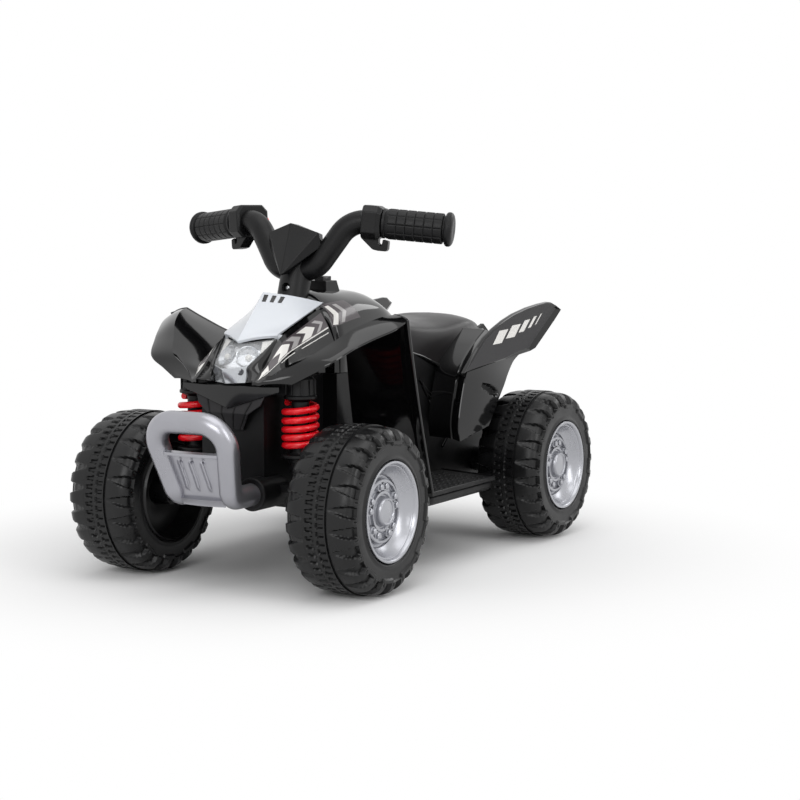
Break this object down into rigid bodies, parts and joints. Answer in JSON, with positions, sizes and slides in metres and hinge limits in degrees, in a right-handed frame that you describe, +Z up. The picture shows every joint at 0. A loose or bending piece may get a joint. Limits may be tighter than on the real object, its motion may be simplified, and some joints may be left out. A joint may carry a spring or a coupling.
{
  "type": "kids quad bike",
  "caption": "Battery-driven toddler quad bike with linked handlebar steering, fat moulded wheels, bumper loop, dummy shocks, foot boards and a moulded seat.",
  "frame": {"origin": "middle of the whole box, on the floor that the tyres stand on", "axes": "+Z up, +Y towards the rear, +X towards the rider's left"},
  "size_m": [0.3656, 0.651, 0.4082],
  "materials": {
    "moulded_tyre": "moulded black plastic, dull",
    "silver_rim": "silver-painted plastic, satin metallic",
    "satin_black": "moulded black plastic, satin",
    "gloss_black": "moulded black plastic, polished",
    "grip_black": "soft black vinyl, dull",
    "white_gloss": "white plastic, polished",
    "clear_lens": "clear polycarbonate",
    "chrome_reflector": "vacuum-metallised plastic",
    "lamp_white": "clear-white lamp body",
    "spring_red": "bright red, glossy",
    "steel": "zinc-plated steel",
    "nylon": "natural nylon",
    "switch_red": "red plastic button",
    "battery_grey": "battery case",
    "socket_black": "moulded socket"
  },
  "bodies": {
    "chassis": {"axle_nuts_rear": "steel", "battery": "battery_grey", "battery_clamp": "satin_black", "body_screws": "steel", "charge_socket": "socket_black", "chassis_tray": "satin_black", "column_bushes": "nylon", "foot_board_left": "satin_black", "foot_board_right": "satin_black", "front_bumper": "silver_rim", "front_cowl": "gloss_black", "front_fender_left": "gloss_black", "front_fender_right": "gloss_black", "front_grille": "satin_black", "gearbox_case": "satin_black", "gearbox_cover": "satin_black", "headlight_lamps": "lamp_white", "headlight_lens": "clear_lens", "headlight_reflector": "chrome_reflector", "motor": "steel", "nose_panel": "white_gloss", "rear_axle": "steel", "rear_fender_left": "gloss_black", "rear_fender_right": "gloss_black", "seat": "satin_black", "shock_body_left": "satin_black", "shock_body_right": "satin_black", "spring_left": "spring_red", "spring_right": "spring_red", "switch_pod": "satin_black"},
    "steering": {"steering_column": "steel", "handlebar": "satin_black", "handlebar_cover": "satin_black", "column_screw": "steel", "grip_left": "grip_black", "grip_right": "grip_black", "control_block_left": "satin_black", "control_block_right": "satin_black"},
    "throttle": {"throttle_button": "switch_red"},
    "direction_switch": {"direction_switch": "switch_red"},
    "tie_rod": {"tie_rod": "steel"},
    "knuckle_left": {"knuckle_left": "steel", "axle_nut_front_left": "steel"},
    "knuckle_right": {"knuckle_right": "steel", "axle_nut_front_right": "steel"},
    "wheel_front_left": {"tyre_front_left": "moulded_tyre", "rim_front_left": "silver_rim", "hub_cap_front_left": "silver_rim"},
    "wheel_front_right": {"tyre_front_right": "moulded_tyre", "rim_front_right": "silver_rim", "hub_cap_front_right": "silver_rim"},
    "wheel_rear_left": {"tyre_rear_left": "moulded_tyre", "rim_rear_left": "silver_rim", "hub_cap_rear_left": "silver_rim", "drive_gear": "nylon"},
    "wheel_rear_right": {"tyre_rear_right": "moulded_tyre", "rim_rear_right": "silver_rim", "hub_cap_rear_right": "silver_rim"},
    "idler_gear": {"idler_gear": "nylon"},
    "motor_pinion": {"motor_pinion": "nylon"}
  },
  "joints": [
    {"name": "steering_turn", "type": "hinge", "parent": "chassis", "child": "steering", "pos_m": [0, -0.112, 0.308], "axis": [0, 0.309, 0.9511], "range_deg": [-32, 32]},
    {"name": "knuckle_left_turn", "type": "hinge", "parent": "chassis", "child": "knuckle_left", "pos_m": [0.068, -0.2035, 0.103], "axis": [0, 0, 1], "range_deg": [-17.2, 17.2]},
    {"name": "knuckle_right_turn", "type": "hinge", "parent": "chassis", "child": "knuckle_right", "pos_m": [-0.068, -0.2035, 0.103], "axis": [0, 0, 1], "range_deg": [-17.2, 17.2]},
    {"name": "tie_rod_slide", "type": "slide", "parent": "chassis", "child": "tie_rod", "axis": [-1, 0, 0], "range_m": [-0.0195, 0.0195]},
    {"name": "wheel_front_left_spin", "type": "hinge", "parent": "knuckle_left", "child": "wheel_front_left", "pos_m": [0.1408, -0.2035, 0.09], "axis": [1, 0, 0], "continuous": true},
    {"name": "wheel_front_right_spin", "type": "hinge", "parent": "knuckle_right", "child": "wheel_front_right", "pos_m": [-0.1408, -0.2035, 0.09], "axis": [1, 0, 0], "continuous": true},
    {"name": "wheel_rear_left_spin", "type": "hinge", "parent": "chassis", "child": "wheel_rear_left", "pos_m": [0.1408, 0.2195, 0.09], "axis": [1, 0, 0], "continuous": true},
    {"name": "wheel_rear_right_spin", "type": "hinge", "parent": "chassis", "child": "wheel_rear_right", "pos_m": [-0.1408, 0.2195, 0.09], "axis": [1, 0, 0], "continuous": true},
    {"name": "idler_gear_spin", "type": "hinge", "parent": "chassis", "child": "idler_gear", "pos_m": [0.024, 0.1939, 0.09452], "axis": [1, 0, 0], "continuous": true},
    {"name": "motor_pinion_spin", "type": "hinge", "parent": "chassis", "child": "motor_pinion", "pos_m": [0.009, 0.17398, 0.10601], "axis": [1, 0, 0], "continuous": true},
    {"name": "throttle_press", "type": "slide", "parent": "steering", "child": "throttle", "axis": [-0.3473, -0.9377, 0], "range_m": [0, 0.0035], "stiffness_N_per_m": 300},
    {"name": "direction_rock", "type": "hinge", "parent": "chassis", "child": "direction_switch", "pos_m": [0, -0.0495, 0.32], "axis": [1, 0, 0], "range_deg": [-10, 10]}
  ],
  "couplings": [
    {"joint": "knuckle_left_turn", "follows": "steering_turn", "ratio": 0.531},
    {"joint": "knuckle_right_turn", "follows": "steering_turn", "ratio": 0.531},
    {"joint": "tie_rod_slide", "follows": "steering_turn", "m_per_rad": 0.034},
    {"joint": "idler_gear_spin", "follows": "wheel_rear_left_spin", "ratio": -3.3333},
    {"joint": "motor_pinion_spin", "follows": "wheel_rear_left_spin", "ratio": 12}
  ]
}
